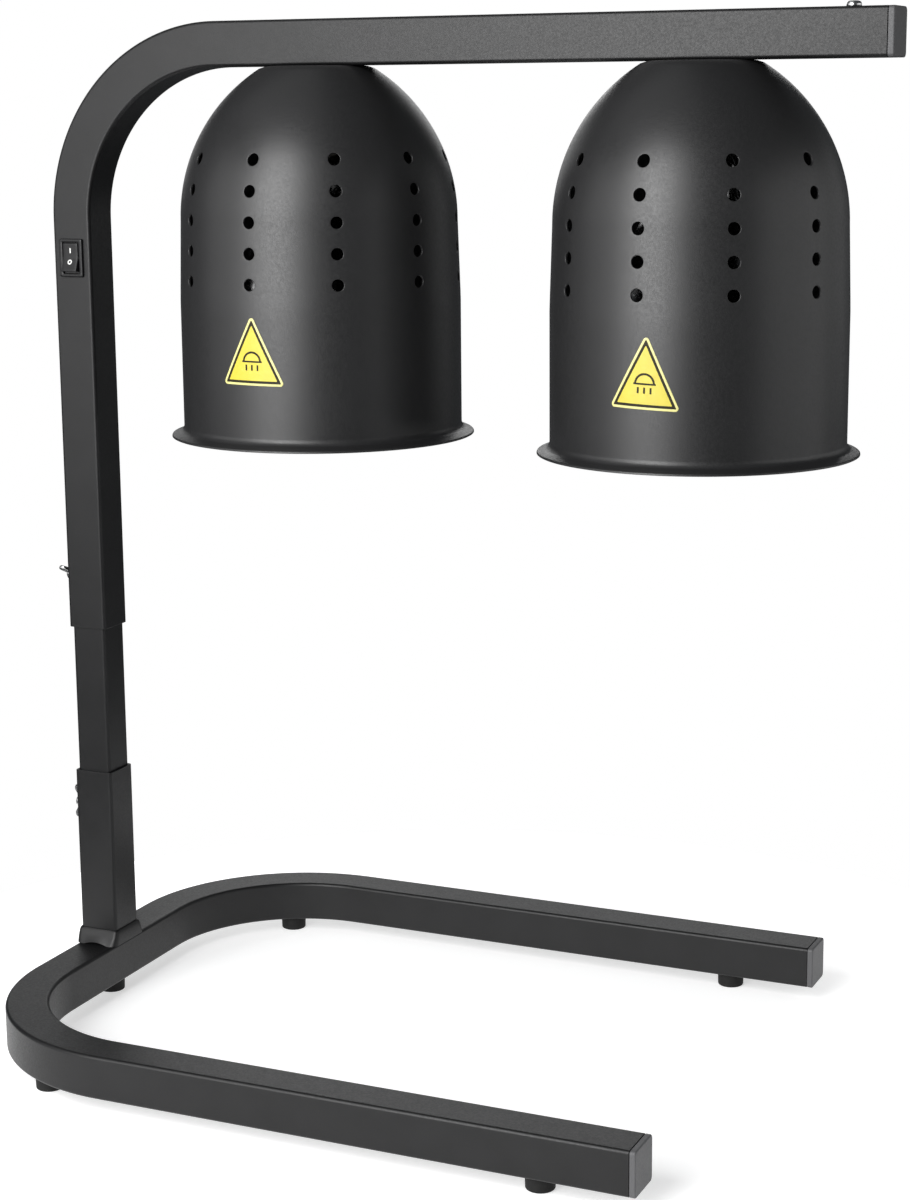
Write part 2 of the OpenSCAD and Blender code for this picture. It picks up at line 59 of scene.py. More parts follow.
def aim_camera():
    """Camera at the viewing angle, with its roll and no shift."""
    turn, dip, roll = 0.4226, 0.2038, -0.0084
    ahead = Vector((-math.sin(turn) * math.cos(dip), math.cos(turn) * math.cos(dip), -math.sin(dip)))
    level = Vector((math.cos(turn), math.sin(turn), 0))
    up = level.cross(ahead)
    right = level * math.cos(roll) + up * math.sin(roll)
    top = -level * math.sin(roll) + up * math.cos(roll)
    data = bpy.data.cameras.new("camera")
    data.sensor_width = 36
    data.lens = 72.71
    data.clip_start, data.clip_end = 0.05, 50
    cam = bpy.data.objects.new("camera", data)
    m = Matrix((right, top, -ahead)).transposed().to_4x4()
    m.translation = Vector((0.55298, -1.21566, 0.54046))
    cam.matrix_world = m
    scene.collection.objects.link(cam)
    scene.camera = cam


aim_camera()


# ---------- light and floor ----------


def softbox(name, place, target, size, watts):
    data = bpy.data.lights.new(name, "AREA")
    data.shape = "RECTANGLE"
    data.size, data.size_y = size
    data.energy = watts
    lamp = bpy.data.objects.new(name, data)
    lamp.location = place
    lamp.rotation_mode = "QUATERNION"
    lamp.rotation_quaternion = (Vector(target) - Vector(place)).to_track_quat("-Z", "Y")
    lamp.visible_camera = False
    scene.collection.objects.link(lamp)


def light_studio():
    for k, watts in enumerate((6.0, 10.3, 12.6, 2.8)):
        softbox(f"key_{k}", (-0.66 + 0.27 * k, -1.21, 0.84), (-0.1, 0, 0.5), (0.42, 1.3), watts)
    softbox("front_low", (-0.75, -1.3, 0.22), (-0.1, 0, 0.4), (0.9, 0.4), 1.8)
    softbox("top", (-0.5, -0.25, 1.7), (-0.1, 0, 0.3), (1.4, 1.2), 2.0)
    softbox("side", (-1.35, -0.85, 0.75), (-0.1, 0, 0.5), (1.0, 1.1), 4.2)
    softbox("fill", (1.06, 0.07, 0.52), (0.15, 0, 0.47), (1.15, 0.78), 3.0)
    softbox("back", (-0.6, 1.9, 1.0), (0, 0, 0.1), (1.3, 0.65), 5)
    softbox("back_left", (-1.4, 1.45, 0.85), (-0.2, 0, 0.1), (1.0, 0.7), 1.8)
    softbox("back_right", (1.35, 1.75, 0.6), (0.1, 0, 0.4), (1.1, 1.0), 1.6)
    world = bpy.data.worlds.new("studio")
    world.use_nodes = True
    tree = world.node_tree
    tree.nodes.clear()
    seen = tree.nodes.new("ShaderNodeLightPath")
    dim = tree.nodes.new("ShaderNodeBackground")
    dim.inputs["Color"].default_value = (0.9, 0.95, 1, 1)
    dim.inputs["Strength"].default_value = 0.08
    white = tree.nodes.new("ShaderNodeBackground")
    white.inputs["Color"].default_value = (1, 1, 1, 1)
    white.inputs["Strength"].default_value = 1.0
    mix = tree.nodes.new("ShaderNodeMixShader")
    out = tree.nodes.new("ShaderNodeOutputWorld")
    tree.links.new(seen.outputs["Is Camera Ray"], mix.inputs["Fac"])
    tree.links.new(dim.outputs[0], mix.inputs[1])
    tree.links.new(white.outputs[0], mix.inputs[2])
    tree.links.new(mix.outputs[0], out.inputs["Surface"])
    scene.world = world


light_studio()
scene.view_settings.view_transform = "Standard"


# ---------- materials ----------


class Paint:
    """A Principled material with procedural variation, built step by step."""

    def __init__(self, name, colour, rough, metallic=0.0, **sockets):
        self.m = bpy.data.materials.new(name)
        self.m.use_nodes = True
        self.tree = self.m.node_tree
        self.tree.nodes.clear()
        self.out = self.tree.nodes.new("ShaderNodeOutputMaterial")
        self.bsdf = self.tree.nodes.new("ShaderNodeBsdfPrincipled")
        self.tree.links.new(self.bsdf.outputs[0], self.out.inputs["Surface"])
        self.bsdf.inputs["Base Color"].default_value = (*colour, 1)
        self.bsdf.inputs["Roughness"].default_value = rough
        self.bsdf.inputs["Metallic"].default_value = metallic
        for key, value in sockets.items():
            self.bsdf.inputs[key.replace("_", " ")].default_value = value
        self.colour, self.rough = colour, rough
        self.coords = self.tree.nodes.new("ShaderNodeTexCoord")
        self.height = None
        self.m.diffuse_color = (*colour, 1)

    def node(self, kind, **inputs):
        n = self.tree.nodes.new(kind)
        for key, value in inputs.items():
            n.inputs[key.replace("_", " ")].default_value = value
        return n

    def noise(self, scale, detail=2.0, rough=0.5, stretch=(1, 1, 1)):
        """Noise in the object's own space; scale is per metre."""
        spot = self.node("ShaderNodeMapping", Scale=[s * scale for s in stretch])
        self.tree.links.new(self.coords.outputs["Object"], spot.inputs["Vector"])
        n = self.node("ShaderNodeTexNoise", Scale=1.0, Detail=detail, Roughness=rough)
        self.tree.links.new(spot.outputs[0], n.inputs["Vector"])
        return n.outputs["Fac"]

    def spread(self, fac, lo, hi, a=0.3, b=0.7):
        """Maps a noise value's middle range to lo..hi."""
        n = self.node("ShaderNodeMapRange", From_Min=a, From_Max=b, To_Min=lo, To_Max=hi)
        self.tree.links.new(fac, n.inputs["Value"])
        return n.outputs[0]

    def vary_rough(self, fac, by):
        self.tree.links.new(self.spread(fac, self.rough - by, self.rough + by), self.bsdf.inputs["Roughness"])
        return self

    def vary_colour(self, fac, other):
        n = self.node("ShaderNodeMix")
        n.data_type = "RGBA"
        n.inputs["A"].default_value = (*self.colour, 1)
        n.inputs["B"].default_value = (*other, 1)
        self.tree.links.new(self.spread(fac, 0, 1), n.inputs["Factor"])
        self.tree.links.new(n.outputs["Result"], self.bsdf.inputs["Base Color"])
        return self

    def bump(self, fac, depth, strength=1.0):
        """Adds relief of that depth in metres; several calls stack."""
        n = self.node("ShaderNodeBump", Strength=strength, Distance=depth)
        self.tree.links.new(fac, n.inputs["Height"])
        if self.height is not None:
            self.tree.links.new(self.height, n.inputs["Normal"])
        self.height = n.outputs[0]
        self.tree.links.new(self.height, self.bsdf.inputs["Normal"])
        return self


def make_materials():
    made = {}

    def add(slot, paint):
        made[slot] = paint.m
        return paint

    p = add("frame_paint", Paint("powder_coat", (0.0036, 0.0036, 0.0039), 0.42, Specular_IOR_Level=0.35))
    p.vary_colour(p.noise(60), (0.0054, 0.0054, 0.0058)).vary_rough(p.noise(900, 3), 0.06)
    p.bump(p.noise(1500, 2.5, 0.6), 0.00006, 0.55).bump(p.noise(240, 1), 0.0001, 0.2)
    p = add("shade_paint", Paint("satin_enamel", (0.012, 0.012, 0.0124), 0.4, Specular_IOR_Level=0.5))
    p.vary_colour(p.noise(45), (0.013, 0.013, 0.0135)).vary_rough(p.noise(700, 3), 0.05)
    p.bump(p.noise(1700, 2.5, 0.6), 0.00005, 0.45).bump(p.noise(160, 1), 0.00012, 0.15)
    p = add("black_plastic", Paint("moulded_plastic", (0.07, 0.07, 0.073), 0.55))
    p.vary_colour(p.noise(120), (0.072, 0.072, 0.075)).vary_rough(p.noise(800), 0.05)
    p.bump(p.noise(2600, 1), 0.00003, 0.5)
    p = add("switch_plastic", Paint("polished_plastic", (0.006, 0.006, 0.0065), 0.4, Specular_IOR_Level=0.3))
    p.vary_rough(p.noise(500), 0.05).bump(p.noise(1200, 1), 0.00001, 0.4)
    p = add("foot_rubber", Paint("rubber", (0.006, 0.006, 0.006), 0.7, Specular_IOR_Level=0.25))
    p.vary_colour(p.noise(300), (0.009, 0.0088, 0.0086)).bump(p.noise(1500, 2), 0.00005, 0.5)
    p = add("zinc_steel", Paint("zinc", (0.58, 0.59, 0.6), 0.33, 1.0))
    p.vary_colour(p.noise(500, 3), (0.5, 0.51, 0.53)).vary_rough(p.noise(900), 0.07)
    p = add("bright_screw", Paint("nickel", (0.66, 0.66, 0.66), 0.22, 1.0))
    p.vary_rough(p.noise(700, 3), 0.06).bump(p.noise(900, 2), 0.00002, 0.4)
    p = add("nylon", Paint("nylon", (0.78, 0.75, 0.66), 0.5))
    p.vary_colour(p.noise(400), (0.72, 0.69, 0.6))
    p = add("ceramic", Paint("steatite", (0.80, 0.78, 0.72), 0.28, Coat_Weight=0.4))
    p.vary_colour(p.noise(150, 3), (0.74, 0.71, 0.64)).bump(p.noise(300, 2), 0.00006, 0.4)
    p = add("nickel_shell", Paint("nickel_shell", (0.62, 0.6, 0.56), 0.3, 1.0))
    p.vary_rough(p.noise(600), 0.08)
    p = add("brass", Paint("brass", (0.70, 0.50, 0.20), 0.3, 1.0))
    p.vary_colour(p.noise(400, 3), (0.55, 0.38, 0.15)).vary_rough(p.noise(700), 0.06)
    p = add("bulb_cap", Paint("rolled_aluminium", (0.75, 0.75, 0.76), 0.3, 1.0))
    p.vary_rough(p.noise(500, 3), 0.08).bump(p.noise(900), 0.00002, 0.4)
    p = add("bulb_glass", Paint("frosted_glass", (0.86, 0.85, 0.80), 0.28, Transmission_Weight=0.35, IOR=1.5))
    p.vary_colour(p.noise(40), (0.90, 0.89, 0.85)).bump(p.noise(120, 1), 0.00008, 0.3)
    p = add("bulb_silver", Paint("silvered_glass", (0.62, 0.62, 0.62), 0.2, 1.0))
    p.vary_rough(p.noise(90, 2), 0.05).bump(p.noise(120, 1), 0.00008, 0.3)
    p = add("filament", Paint("tungsten", (0.3, 0.3, 0.32), 0.4, 1.0))
    p.vary_rough(p.noise(2000), 0.08)
    for slot, a, b in (
        ("wire_brown", (0.16, 0.06, 0.025), (0.12, 0.045, 0.02)),
        ("wire_blue", (0.04, 0.16, 0.45), (0.03, 0.13, 0.38)),
        ("wire_green", (0.16, 0.42, 0.05), (0.55, 0.5, 0.04)),
    ):
        p = add(slot, Paint(slot, a, 0.45))
        p.vary_colour(p.noise(200), b).bump(p.noise(900), 0.00004, 0.4)
    p = add("terminal_white", Paint("polyamide", (0.8, 0.8, 0.77), 0.35))
    p.vary_colour(p.noise(300), (0.75, 0.75, 0.71)).vary_rough(p.noise(500), 0.05)
    p = add("label_yellow", Paint("label_yellow", (0.56, 0.47, 0.035), 0.4))
    p.vary_colour(p.noise(250), (0.53, 0.44, 0.03)).vary_rough(p.noise(600), 0.05)
    p = add("label_edge", Paint("label_edge", (0.64, 0.60, 0.24), 0.4))
    p.vary_colour(p.noise(250), (0.60, 0.56, 0.20)).vary_rough(p.noise(600), 0.05)
    p = add("label_ink", Paint("label_ink", (0.02, 0.017, 0.008), 0.5, Specular_IOR_Level=0.15))
    p.vary_rough(p.noise(600), 0.05)
    p = add("mark_white", Paint("mark_white", (0.72, 0.72, 0.70), 0.5))
    p.vary_colour(p.noise(900), (0.62, 0.62, 0.6))
    return made


MAT = make_materials()


def make_floor():
    """Round pale floor; its glow rises outwards, so only contact shadows show and its edge melts into the white."""
    side, n = 0.42, 96
    mesh = bpy.data.meshes.new("floor")
    mesh.from_pydata([(side * math.cos(2 * math.pi * k / n), side * math.sin(2 * math.pi * k / n), -0.05 * MM) for k in range(n)],
                     [], [tuple(range(n))])
    floor = bpy.data.objects.new("floor", mesh)
    p = Paint("pale_floor", (0.7, 0.7, 0.7), 0.7, Specular_IOR_Level=0.1)
    p.bsdf.inputs["Emission Color"].default_value = (1, 1, 1, 1)
    far = p.node("ShaderNodeVectorMath")
    far.operation = "LENGTH"
    p.tree.links.new(p.coords.outputs["Object"], far.inputs[0])
    p.tree.links.new(p.spread(far.outputs["Value"], 0.52, 1.0, 0.22, 0.38), p.bsdf.inputs["Emission Strength"])
    mesh.materials.append(p.m)
    scene.collection.objects.link(floor)


make_floor()


# ---------- mesh helpers ----------


class Build:
    """Collects vertices (in metres, in the shared frame) and faces with a material number."""

    def __init__(self):
        self.v, self.f, self.mat = [], [], []

    def ring(self, points):
        start = len(self.v)
        self.v += [tuple(p) for p in points]
        return list(range(start, len(self.v)))

    def face(self, ids, mat=0):
        self.f.append(tuple(ids))
        self.mat.append(mat)

    def bridge(self, a, b, mat=0, closed=True):
        n = len(a)
        for k in range(n if closed else n - 1):
            self.face((a[k], a[(k + 1) % n], b[(k + 1) % n], b[k]), mat)

    def loft(self, rings, closed=False, mat=0):
        for a, b in zip(rings, rings[1:] + (rings[:1] if closed else [])):
            self.bridge(a, b, mat)


def finish_piece(name, build, nodes, mats=None, bevel=0.0, segments=3, sharp=38, weld=1e-7):
    """Makes the object: welds, turns faces outwards, bevels, smooths, applies, rides and hides the frame parts it
    stands for.
    """
    mesh = bpy.data.meshes.new(name)
    mesh.from_pydata(build.v, [], build.f)
    mesh.polygons.foreach_set("material_index", build.mat)
    bm = bmesh.new()
    bm.from_mesh(mesh)
    bmesh.ops.remove_doubles(bm, verts=bm.verts, dist=weld)
    bmesh.ops.recalc_face_normals(bm, faces=bm.faces)
    for f in bm.faces:
        f.smooth = True
    bm.to_mesh(mesh)
    bm.free()
    obj = bpy.data.objects.new(name, mesh)
    scene.collection.objects.link(obj)
    if bevel:
        mod = obj.modifiers.new("edges", "BEVEL")
        mod.width, mod.segments = bevel, segments
        mod.limit_method, mod.angle_limit = "ANGLE", math.radians(sharp)
        mod.use_clamp_overlap = True
    else:
        mesh.set_sharp_from_angle(angle=math.radians(sharp))
    mod = obj.modifiers.new("normals", "WEIGHTED_NORMAL")
    mod.keep_sharp = True
    mod.weight = 50
    apply_modifiers(obj)
    slots = [SLOT_OF[nodes[0]]] if mats is None else mats
    for s in slots:
        obj.data.materials.append(MAT[s])
    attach(obj, BODY_OF[nodes[0]])
    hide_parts(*nodes)
    return obj


def apply_modifiers(obj):
    bpy.context.view_layer.update()
    dg = bpy.context.evaluated_depsgraph_get()
    done = bpy.data.meshes.new_from_object(obj.evaluated_get(dg), preserve_all_data_layers=True, depsgraph=dg)
    old, obj.data = obj.data, done
    obj.modifiers.clear()
    done.name = obj.name
    bpy.data.meshes.remove(old)


def rounded(w, h, r, n=8):
    """Points of a rounded rectangle, anticlockwise."""
    out = []
    for q, (sx, sy) in enumerate(((1, 1), (-1, 1), (-1, -1), (1, -1))):
        for k in range(n + 1):
            a = math.radians(90 * (q + k / n))
            out.append((sx * (w / 2 - r) + r * math.cos(a), sy * (h / 2 - r) + r * math.sin(a)))
    return out


def circle(r, n=64, turn=0.0):
    return [(r * math.cos(2 * math.pi * k / n + turn), r * math.sin(2 * math.pi * k / n + turn)) for k in range(n)]


def place(points, origin, u, v):
    o, u, v = Vector(origin), Vector(u), Vector(v)
    return [o + u * p[0] + v * p[1] for p in points]


def lathe(build, profile, origin, axis=(0, 0, 1), n=64, closed=False, mat=0, caps=(False, False)):
    """Turns (radius, height) points about an axis from origin; closed joins the last to the first."""
    w = Vector(axis).normalized()
    u = w.orthogonal().normalized()
    v = w.cross(u)
    rings = [build.ring(place(circle(r, n), Vector(origin) + w * h, u, v)) for r, h in profile]
    build.loft(rings, closed, mat)
    if caps[0]:
        build.face(rings[0][::-1], mat)
    if caps[1]:
        build.face(rings[-1], mat)
    return rings


def arc(cx, cy, r, a0, a1, n):
    return [
        (cx + r * math.cos(math.radians(a0 + (a1 - a0) * k / n)), cy + r * math.sin(math.radians(a0 + (a1 - a0) * k / n)))
        for k in range(n + 1)
    ]


def mid(node):
    lo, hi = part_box(node)
    return (lo + hi) / 2


# ---------- sizes read from the frame ----------

POST = mid("inner_tube").xy
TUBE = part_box("lower_sleeve")[1].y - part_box("lower_sleeve")[0].y
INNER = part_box("inner_tube")[1].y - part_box("inner_tube")[0].y
WALL = 1.2 * MM
CORNER = 2 * MM
LAMP_X = {k: mid(f"lamp_{k}_bulb_cap").x for k in "ab"}


def sweep_tube(name, path, plane, node, width, edge=0.25 * MM, wall=WALL):
    """Hollow square tube along a flat path of (point, direction)."""
    build = Build()
    plane = Vector(plane)
    skins = []
    for w, r in ((width, CORNER), (width - 2 * wall, CORNER - wall)):
        outline = rounded(w, w, r)
        skins.append([
            build.ring(place(outline, p, plane.cross(Vector(t)).normalized(), plane)) for p, t in path
        ])
    for rings in skins:
        build.loft(rings)
    build.bridge(skins[0][0], skins[1][0])
    build.bridge(skins[0][-1], skins[1][-1])
    return finish_piece(name, build, [node], bevel=edge, segments=2, sharp=40)


def bend(centre, r, a0, a1, x, y, n=40):
    """Path points of a bend in the plane of x and y, from angle a0 to a1 in degrees."""
    c, x, y = Vector(centre), Vector(x), Vector(y)
    out = []
    for k in range(n + 1):
        a = math.radians(a0 + (a1 - a0) * k / n)
        way = 1 if a1 > a0 else -1
        out.append((c + x * r * math.cos(a) + y * r * math.sin(a), way * (y * math.cos(a) - x * math.sin(a))))
    return out


# ---------- base ----------


def make_base():
    lo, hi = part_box("base_frame")
    z = (lo.z + hi.z) / 2
    r = 95 * MM
    legs = (hi.y - lo.y) / 2 - TUBE / 2
    x0, x1 = lo.x + TUBE / 2, hi.x
    path = [(Vector((x1, -legs, z)), Vector((-1, 0, 0)))]
    path += bend((x0 + r, -legs + r, z), r, 270, 180, (1, 0, 0), (0, 1, 0))
    path += bend((x0 + r, legs - r, z), r, 180, 90, (1, 0, 0), (0, 1, 0))
    path.append((Vector((x1, legs, z)), Vector((1, 0, 0))))
    sweep_tube("base_tube", path, (0, 0, 1), "base_frame", TUBE)


def make_end_cap(name, node):
    """Plug with a soft-edged flange; its ribbed shank stays hidden in the tube."""
    lo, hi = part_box(node)
    c = (lo + hi) / 2
    seat = hi.x - 3.6 * MM
    build = Build()

    def ring(x, w, r):
        return build.ring(place(rounded(w, w, r), (x, c.y, c.z), (0, 1, 0), (0, 0, 1)))

    shank = TUBE - 2 * WALL - 0.8 * MM
    rings = [ring(lo.x, shank, 1.5 * MM)]
    for x in (3, 7, 11):
        for dx, w in ((0, shank), (0.25, shank + 0.7 * MM), (0.75, shank + 0.7 * MM), (1, shank)):
            rings.append(ring(lo.x + (x + dx) * MM, w, 1.5 * MM))
    rings.append(ring(seat, shank, 1.5 * MM))
    rings.append(ring(seat, TUBE - 1.3 * MM, CORNER - 0.7 * MM))
    rings.append(ring(seat + 0.45 * MM, TUBE - 1.3 * MM, CORNER - 0.7 * MM))
    rings.append(ring(seat + 0.5 * MM, TUBE - 0.1 * MM, CORNER))
    rings.append(ring(seat + 0.8 * MM, TUBE, CORNER))
    edge = 0.8 * MM
    for k in range(7):
        a = math.radians(90 * k / 6)
        rings.append(ring(hi.x - edge + edge * math.sin(a), TUBE - 2 * edge * (1 - math.cos(a)), CORNER))
    rings.append(ring(hi.x, TUBE - 5 * MM, CORNER - 1 * MM))
    build.loft(rings)
    build.face(rings[0][::-1])
    build.face(rings[-1])
    finish_piece(name, build, [node], sharp=30)


def make_foot(name, node):
    lo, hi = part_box(node)
    c = (lo + hi) / 2
    r, h = (hi.y - lo.y) / 2, hi.z - lo.z
    well, hole, deep = 4 * MM, 2.2 * MM, 5 * MM
    taper, e = 0.2 * MM, 0.9 * MM
    prof = [(hole, deep), (well, deep), (well, 0.5 * MM), (well + 0.5 * MM, 0)]
    prof += arc(r - taper - e, e, e, -90, 0, 6) + [(r, h * 0.8), (r, h - 0.5 * MM), (r - 0.3 * MM, h), (hole, h)]
    build = Build()
    lathe(build, prof, (c.x, c.y, lo.z), n=72, closed=True)
    finish_piece(name, build, [node], sharp=50)


def make_collar():
    """Saddle ring with a soft flare, narrower at the top, where the sleeve enters it."""
    lo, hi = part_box("base_collar")
    c = (lo + hi) / 2
    h = hi.z - lo.z
    rows = []
    for k in range(13):
        t = k / 12
        swell = math.sqrt(1 - t ** 2.6)
        flare = (1 - t) ** 1.6
        rows.append((t, 26.2 + 2.2 * swell, 26.2 + 2.4 * swell + 6.4 * flare, 2.4 + 2.1 * flare))
    build = Build()

    def ring(t, w, d, r, arch=1.0):
        """One level of the ring; the levels near its foot bow up in an arch along the base tube."""
        corners, flat = rounded(w * MM, d * MM, r * MM), []
        for (x0, y0), (x1, y1) in zip(corners, corners[1:] + corners[:1]):
            steps = 12 if math.hypot(x1 - x0, y1 - y0) > 8 * MM else 1
            flat += [(x0 + (x1 - x0) * k / steps, y0 + (y1 - y0) * k / steps) for k in range(steps)]
        points = place(flat, (c.x, c.y, lo.z + h * t), (1, 0, 0), (0, 1, 0))
        for p in points:
            bow = math.sqrt((20 * MM) ** 2 - (p.x - c.x) ** 2) - 18.4 * MM
            p.z += max(0.0, bow) * max(0.0, 1 - 1.6 * t) * arch
        return build.ring(points)

    bore = TUBE / MM + 0.02
    rings = [ring(*row) for row in rows]
    rings.append(ring(1, bore + 0.5, bore + 0.5, 2.1))
    rings.append(ring(0.97, bore, bore, 2))
    rings.append(ring(0, bore, bore, 2))
    build.loft(rings, closed=True)
    finish_piece("saddle_collar", build, ["base_collar"], sharp=50)


def make_straight_tube(name, node, width):
    lo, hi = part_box(node)
    path = [(Vector((*POST, z)), Vector((0, 0, 1))) for z in (lo.z, hi.z)]
    sweep_tube(name, path, (0, 1, 0), node, width)


# ---------- post and arm ----------


def make_upper_tube():
    lo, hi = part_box("upper_frame")
    r = 97 * MM
    top = hi.z - TUBE / 2
    x = POST.x
    path = [(Vector((x, 0, lo.z)), Vector((0, 0, 1)))]
    path += bend((x + r, 0, top - r), r, 180, 90, (1, 0, 0), (0, 0, 1), n=56)
    path.append((Vector((hi.x, 0, top)), Vector((1, 0, 0))))
    sweep_tube("post_and_arm", path, (0, -1, 0), "upper_frame", TUBE)


def make_weld_nut(name, node):
    lo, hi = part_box(node)
    c = (lo + hi) / 2
    r = (hi.z - lo.z) / 2
    t = hi.x - lo.x
    build = Build()

    def ring(x, rr, n, hexed):
        pts = []
        for k in range(n):
            a = 2 * math.pi * k / n
            q = (a % (math.pi / 3)) - math.pi / 6
            flat = rr * math.cos(math.pi / 6) / math.cos(q) if hexed else rr
            pts.append((flat * math.cos(a), flat * math.sin(a)))
        return build.ring(place(pts, (x, c.y, c.z), (0, 0, 1), (0, 1, 0)))

    n = 72
    bore = 2.5 * MM
    rings = [ring(hi.x, bore, n, False), ring(hi.x, r, n, True), ring(lo.x + 0.35 * MM, r, n, True),
             ring(lo.x, r * 0.87, n, False), ring(lo.x, bore + 0.4 * MM, n, False),
             ring(lo.x + 0.4 * MM, bore, n, False)]
    build.loft(rings, closed=True)
    finish_piece(name, build, [node], sharp=35)


def make_wing_screw(name, node, turn):
    """Pressed wing screw: turned hub, threaded shank and two thin rounded wings."""
    lo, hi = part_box(node)
    c = mid(node.replace("wing_screw", "weld_nut"))
    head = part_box(node.replace("wing_screw", "weld_nut"))[0].x - 0.3 * MM
    build = Build()
    shank = 2.45 * MM
    prof = [(0.001 * MM, head - 3.9 * MM - lo.x), (2.2 * MM, head - 3.9 * MM - lo.x)]
    prof += [(2.9 * MM, head - 3.7 * MM - lo.x), (3.5 * MM, head - 3.1 * MM - lo.x)]
    prof += [(3.8 * MM, head - 2.2 * MM - lo.x), (3.8 * MM, head - 0.4 * MM - lo.x)]
    prof += [(3.4 * MM, head - lo.x), (shank, head - lo.x)]
    end = hi.x - lo.x
    x, k = head + 0.2 * MM - lo.x, 0
    while x < end - 0.9 * MM:
        prof.append((shank if k % 2 == 0 else shank - 0.35 * MM, x))
        x += 0.4 * MM
        k += 1
    prof += [(shank - 0.3 * MM, end - 0.3 * MM), (shank - 0.7 * MM, end), (0.001 * MM, end)]
    lathe(build, prof, (lo.x, c.y, c.z), axis=(1, 0, 0), n=56)
    for side in (0, math.pi):
        a = math.radians(turn) + side
        out = Vector((0, math.cos(a), math.sin(a)))
        back = Vector((-1, 0, 0))
        flat = back.cross(out)
        edge = [(0.45, 2.2), (0.4, 3.0)] + arc(3.0, 8.0, 2.84, 180, -36, 18) + [(3.6, 3.3), (3.4, 2.2)]
        rings = []
        for depth, grow in ((-0.95, -0.45), (-0.6, -0.08), (0.6, -0.08), (0.95, -0.45)):
            pts = []
            for px, py in edge:
                cx, cy = 2.9, 6.6
                d = math.hypot(px - cx, py - cy)
                s = (d + grow) / d
                pts.append(Vector((head, c.y, c.z)) + back * (cx + (px - cx) * s) * MM
                           + out * (cy + (py - cy) * s) * MM + flat * depth * MM)
            rings.append(build.ring(pts))
        build.loft(rings)
        build.face(rings[0][::-1])
        build.face(rings[-1])
    finish_piece(name, build, [node], sharp=50)


def make_arm_screw():
    lo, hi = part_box("arm_screw")
    c = (lo + hi) / 2
    seat = hi.z - 3 * MM
    r = 3.9 * MM
    build = Build()
    n = 64
    rings = []
    prof = [(0.6 * MM, lo.z), (1.95 * MM, lo.z + 0.8 * MM), (1.95 * MM, seat), (r - 0.15 * MM, seat), (r, seat + 0.2 * MM)]
    prof += [(r, seat + 1.1 * MM)]
    for k in range(1, 9):
        a = math.radians(90 * k / 9)
        prof.append((r - 1.9 * MM * (1 - math.cos(a)) , seat + 1.1 * MM + 1.9 * MM * math.sin(a)))
    for rr, z in prof:
        rings.append(build.ring(place(circle(rr, n), (c.x, c.y, z), (1, 0, 0), (0, 1, 0))))
    last = prof[-1]
    for f in (0.8, 0.6, 0.45, 0.3, 0.15):
        pts = []
        for k in range(n):
            a = 2 * math.pi * k / n
            rr = last[0] * f / 0.8 if f == 0.8 else 1.9 * MM * f / 0.8
            near = abs(((a + math.pi / 4) % (math.pi / 2)) - math.pi / 4)
            off = rr * math.sin(near)
            inside = off < 0.42 * MM and rr < 1.95 * MM
            z = hi.z - 0.02 * MM - (1.1 * MM * (1 - rr / (2.3 * MM)) if inside else 0)
            pts.append((c.x + rr * math.cos(a), c.y + rr * math.sin(a), z))
        rings.append(build.ring(pts))
    build.loft(rings)
    build.face(rings[0][::-1])
    build.face(rings[-1])
    finish_piece("arm_pan_screw", build, ["arm_screw"], sharp=40)


# ---------- switch and cord bush ----------


def make_switch():
    """Bezel with soft edges round a deep mouth, and its body behind the tube's wall."""
    lo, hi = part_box("switch_housing")
    c = (lo + hi) / 2
    face = -TUBE / 2
    build = Build()

    def ring(y, w, h, r):
        return build.ring(place(rounded(w * MM, h * MM, r * MM, 6), (c.x, y, c.z), (1, 0, 0), (0, 0, 1)))

    w, h = (hi.x - lo.x) / MM, (hi.z - lo.z) / MM
    mouth_w, mouth_h = 10.6, 17.8
    front = lo.y
    rings = [
        ring(hi.y, 12.8, 19.2, 0.6), ring(face, 12.8, 19.2, 0.6), ring(face, w, h, 0.9),
        ring(front + 0.75 * MM, w, h, 0.9), ring(front + 0.25 * MM, w - 0.35, h - 0.35, 0.9),
        ring(front, w - 1.1, h - 1.1, 0.8), ring(front, mouth_w + 1.5, mouth_h + 1.5, 0.7),
        ring(front + 0.25 * MM, mouth_w + 0.5, mouth_h + 0.5, 0.6), ring(front + 0.9 * MM, mouth_w, mouth_h, 0.4),
        ring(front + 8 * MM, mouth_w, mouth_h, 0.4),
    ]
    build.loft(rings)
    build.face(rings[0][::-1])
    build.face(rings[-1])
    finish_piece("switch_bezel", build, ["switch_housing"], sharp=35)


